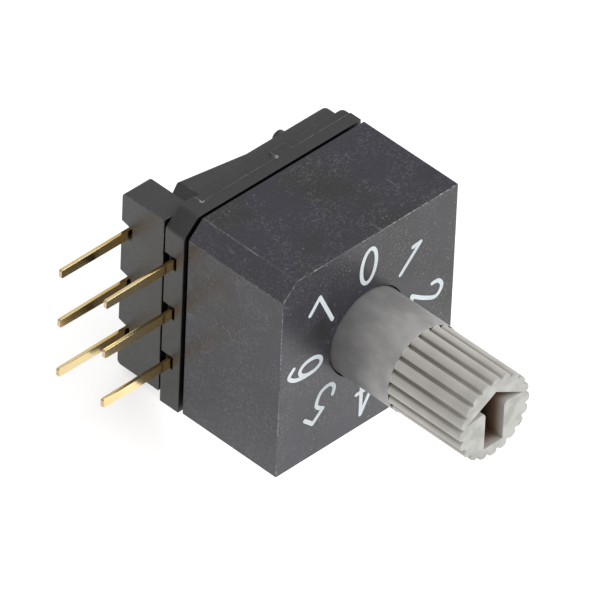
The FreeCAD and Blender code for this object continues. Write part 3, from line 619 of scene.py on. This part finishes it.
def make_materials():
    """Every finish, by the record's slot names, with the edges beside them, pale with wear and painted
    highlight.
    """
    return {
        "housing_plastic": housing_plastic(),
        "housing_edge": pale_edge_wear_and_highlight(
            "housing_edge", rgb(0.045, 0.044, 0.048), rgb(0.38, 0.38, 0.39), 0.3, 1.0, housing_wear_and_highlight,
        ),
        "base_plastic": base_plastic(),
        "base_edge": pale_edge_wear_and_highlight(
            "base_edge", grey(0.045), grey(0.45), 0.4, 1.0, base_wear_and_highlight,
        ),
        "shaft_plastic": shaft_plastic(),
        "gold_plate": gold_plate(),
        "seal_rubber": plain_moulding("seal_rubber", grey(0.008), grey(0.012), 0.7),
        "washer_brass": metal("washer_brass", rgb(0.78, 0.58, 0.30), rgb(0.70, 0.48, 0.22), 0.3),
        "spring_steel": metal("spring_steel", grey(0.58), grey(0.50), 0.3),
        "disc_laminate": plain_moulding(
            "disc_laminate", rgb(0.25, 0.31, 0.12), rgb(0.30, 0.36, 0.15), 0.45,
        ),
        "casting_resin": plain_moulding(
            "casting_resin", rgb(0.03, 0.026, 0.022), rgb(0.04, 0.035, 0.03), 0.2, 0.01,
        ),
        "dial_ink": plain_moulding("dial_ink", rgb(0.55, 0.60, 0.64), rgb(0.66, 0.71, 0.74), 0.6),
    }


# ---------------------------------------------------------------- CAD nodes

# Vertices this close are one, in millimetres. Faces within the first angle of each other are one
# face, and edges above the second angle are sharp, in degrees.
WELD_REACH = 0.0002
FLAT_WITHIN = 0.6
SHARP_ABOVE = 32.0

# Edge softening by slot, in millimetres, and the finish of the softened edge itself, where it has one: pale
# with wear and painted highlight.
EDGES = {
    "housing_plastic": (0.032, "housing_edge"),
    "base_plastic": (0.028, "base_edge"),
    "shaft_plastic": (0.03, None),
    "gold_plate": (0.015, None),
}


def soften_edges(node, width_mm, edge_material):
    """Rounds the sharp edges. Flat faces are made whole first, so that the rounding has room."""
    weld = node.modifiers.new("weld", "WELD")
    weld.merge_threshold = WELD_REACH * MM
    whole = node.modifiers.new("whole_faces", "DECIMATE")
    whole.decimate_type = "DISSOLVE"
    whole.angle_limit = math.radians(FLAT_WITHIN)
    bevel = node.modifiers.new("soft_edges", "BEVEL")
    bevel.width = width_mm * MM
    bevel.segments = 2
    bevel.limit_method = "ANGLE"
    bevel.angle_limit = math.radians(SHARP_ABOVE)
    bevel.use_clamp_overlap = False
    normals = node.modifiers.new("even_shading", "WEIGHTED_NORMAL")
    normals.keep_sharp = False
    if edge_material is not None:
        node.data.materials.append(edge_material)
        bevel.material = 1


def dress_nodes(materials):
    """Gives each CAD node its finish and softens its edges. The meshes themselves stay as packed."""
    slots = {part["node"]: part["material_slot"] for part in frame["record"]["subparts"]}
    for name, node in frame["nodes"].items():
        slot = slots[name]
        node.data.materials.clear()
        node.data.materials.append(materials[slot])
        if slot in EDGES:
            width, edge = EDGES[slot]
            soften_edges(node, width, materials.get(edge))


# ---------------------------------------------------------------- printed digits


def curve(*points):
    """A smooth line through the points, with CURVE_STEPS steps between each two."""
    ends = [points[0], *points, points[-1]]
    line = []
    for p0, p1, p2, p3 in zip(ends, ends[1:], ends[2:], ends[3:]):
        for step in range(CURVE_STEPS):
            t = step / CURVE_STEPS
            line.append(tuple(
                0.5 * (2 * b + (c - a) * t + (2 * a - 5 * b + 4 * c - d) * t * t
                       + (3 * b - a - 3 * c + d) * t ** 3)
                for a, b, c, d in zip(p0, p1, p2, p3)
            ))
    line.append(points[-1])
    return line


def oval(centre, half_width, half_height, lean):
    """A closed ellipse, clockwise from its top, sheared sideways by lean per unit of height."""
    line = []
    for step in range(OVAL_STEPS + 1):
        angle = math.radians(360.0 * step / OVAL_STEPS)
        up = half_height * math.cos(angle)
        line.append((centre[0] + half_width * math.sin(angle) + lean * up, centre[1] + up))
    return line


# Each digit is a list of strokes, in millimetres right of and above its own middle.
DIGITS = (
    [oval((-0.08, 0.05), 0.40, 0.83, 0.09)],
    [[(-0.11, -0.77), (-0.14, 0.78)], [(-0.14, 0.78), (-0.41, 0.45)]],
    [
        curve((-0.42, 0.27), (-0.38, 0.62), (-0.02, 0.82), (0.36, 0.52), (0.12, -0.10), (-0.40, -0.88)),
        [(-0.40, -0.88), (0.45, -0.85)],
    ],
    [
        curve((-0.38, 0.60), (-0.05, 0.86), (0.32, 0.55), (0.20, 0.20), (-0.08, 0.08)),
        curve((-0.08, 0.08), (0.30, -0.05), (0.42, -0.45), (0.10, -0.85), (-0.28, -0.78), (-0.42, -0.52)),
    ],
    [
        [(0.18, 0.87), (0.18, -0.85)],
        [(0.18, 0.87), (-0.47, -0.33)],
        [(-0.50, -0.30), (0.45, -0.30)],
    ],
    [
        [(0.42, 0.96), (-0.18, 0.93)],
        [(-0.18, 0.93), (-0.21, 0.185)],
        curve((-0.21, 0.185), (0.28, 0.22), (0.53, -0.345), (0.28, -0.80), (-0.07, -0.80), (-0.27, -0.51)),
    ],
    [
        curve((0.35, 0.75), (0.03, 1.0), (-0.28, 0.65), (-0.38, 0.10), (-0.36, -0.25)),
        oval((-0.02, -0.20), 0.36, 0.60, 0.0),
    ],
    [[(-0.46, 0.86), (0.37, 0.95)], [(0.37, 0.95), (-0.18, -0.66)]],
)


def stroke_outline(line, width):
    """The outline of a round-ended stroke along an open line."""
    half = width / 2
    points = [Vector(p) for p in line]
    sides = []
    for index, point in enumerate(points):
        before = points[max(index - 1, 0)]
        after = points[min(index + 1, len(points) - 1)]
        along = (after - before).normalized()
        sides.append((point, Vector((-along.y, along.x)) * half))
    outline = [point + side for point, side in sides]
    outline += cap(sides[-1])
    outline += [point - side for point, side in reversed(sides)]
    outline += cap((sides[0][0], -sides[0][1]))
    return outline


def cap(end):
    """The points of a half circle that goes clockwise round a stroke's end."""
    point, side = end
    angles = [math.pi * step / CAP_STEPS for step in range(1, CAP_STEPS)]
    return [point + Matrix.Rotation(-angle, 2) @ side for angle in angles]


def ring_outlines(line, width):
    """The outer and inner outline of a closed stroke. The line's last point repeats its first."""
    half = width / 2
    points = [Vector(p) for p in line[:-1]]
    outer = []
    inner = []
    for index, point in enumerate(points):
        along = (points[(index + 1) % len(points)] - points[index - 1]).normalized()
        side = Vector((-along.y, along.x)) * half
        outer.append(point + side)
        inner.append(point - side)
    return outer, inner


def is_closed(line):
    """Whether a stroke ends where it starts."""
    return (Vector(line[0]) - Vector(line[-1])).length < SAME_PLACE


def plate(name, place, outline, hole=None):
    """A thin closed plate of ink with that outline, placed on the dial by the function place."""
    form = bmesh.new()
    lines = [outline] if hole is None else [outline, hole]
    layers = [
        [[form.verts.new(place(point, depth)) for point in line] for line in lines]
        for depth in (0.0, -INK_THICKNESS)
    ]
    for back_loop, front_loop in zip(*layers):
        for index in range(len(back_loop)):
            following = (index + 1) % len(back_loop)
            form.faces.new((back_loop[index], back_loop[following], front_loop[following], front_loop[index]))
    for loops in layers:
        if hole is None:
            form.faces.new(loops[0])
            continue
        for index in range(len(outline)):
            following = (index + 1) % len(outline)
            form.faces.new((loops[0][index], loops[0][following], loops[1][following], loops[1][index]))
    bmesh.ops.recalc_face_normals(form, faces=form.faces)
    mesh = bpy.data.meshes.new(name)
    form.to_mesh(mesh)
    form.free()
    piece = bpy.data.objects.new(name, mesh)
    bpy.context.scene.collection.objects.link(piece)
    return piece


def join_strokes(pieces):
    """The strokes of one digit made one closed solid."""
    first = pieces[0]
    for other in pieces[1:]:
        union = first.modifiers.new("union", "BOOLEAN")
        union.operation = "UNION"
        union.solver = "EXACT"
        union.object = other
    bpy.context.view_layer.update()
    solid = bpy.data.meshes.new_from_object(first.evaluated_get(bpy.context.evaluated_depsgraph_get()))
    solid.name = first.name
    first.modifiers.clear()
    first.data = solid
    for other in pieces[1:]:
        bpy.data.objects.remove(other)
    return first


def make_digits(materials):
    """The eight printed digits on the dial, each one piece of ink."""
    for number, strokes in enumerate(DIGITS):
        angle = math.radians(45.0 * number)
        up = Vector((math.sin(angle), math.cos(angle)))
        right = Vector((math.cos(angle), -math.sin(angle)))

        def place(point, depth):
            spot = up * (DIGIT_RING_RADIUS + point[1]) + right * point[0]
            return Vector((spot.x, depth, spot.y)) * MM

        pieces = []
        for index, line in enumerate(strokes):
            name = "digit_%d" % number if index == 0 else "stroke_%d_%d" % (number, index)
            if is_closed(line):
                pieces.append(plate(name, place, *ring_outlines(line, STROKE_WIDTH)))
            else:
                pieces.append(plate(name, place, stroke_outline(line, STROKE_WIDTH)))
        digit = join_strokes(pieces)
        digit.data.materials.clear()
        digit.data.materials.append(materials["dial_ink"])
        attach(digit, "body")


# ---------------------------------------------------------------- the scene

bpy.context.scene.view_settings.view_transform = "Standard"
make_camera()
make_world()
make_floor()
make_light()
finishes = make_materials()
dress_nodes(finishes)
make_digits(finishes)
